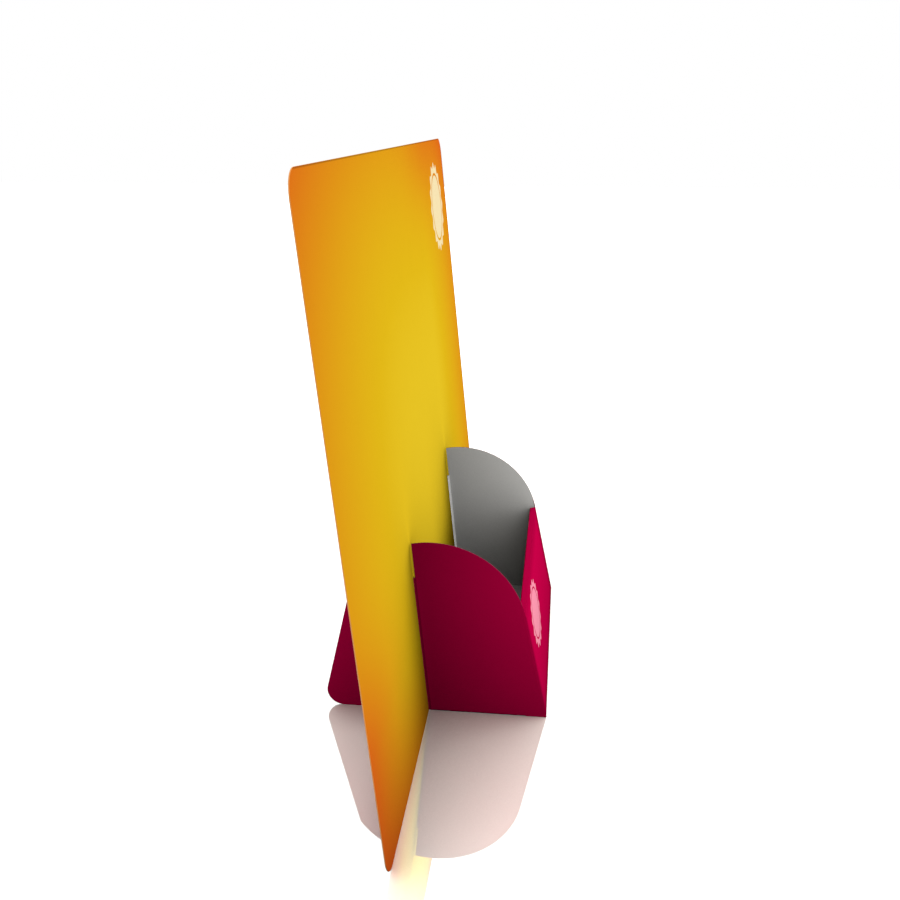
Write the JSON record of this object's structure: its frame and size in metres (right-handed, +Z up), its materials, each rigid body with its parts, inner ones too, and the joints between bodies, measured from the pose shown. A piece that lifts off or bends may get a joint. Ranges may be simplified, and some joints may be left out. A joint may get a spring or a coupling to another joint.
{
  "type": "cardboard poster stand with leaflet holder",
  "caption": "Cardboard counter stand: a leaning poster board with rounded corners, cross-lapped with a folded leaflet holder whose side panels reach back as feet.",
  "frame": {"origin": "middle of the stand's bounding box, on the table", "axes": "+Z up, +X to the right along the poster's width as seen from the front, -Y to the front, the side of the leaflet holder"},
  "size_m": [0.42, 0.122, 0.2956],
  "materials": {
    "poster_print": "printed board, yellow to orange in front, plain white-grey behind, matt",
    "holder_print": "printed board, crimson outside, plain white-grey inside, matt"
  },
  "bodies": {
    "root": {"poster_board": "poster_print", "leaflet_holder": "holder_print"}
  },
  "joints": []
}
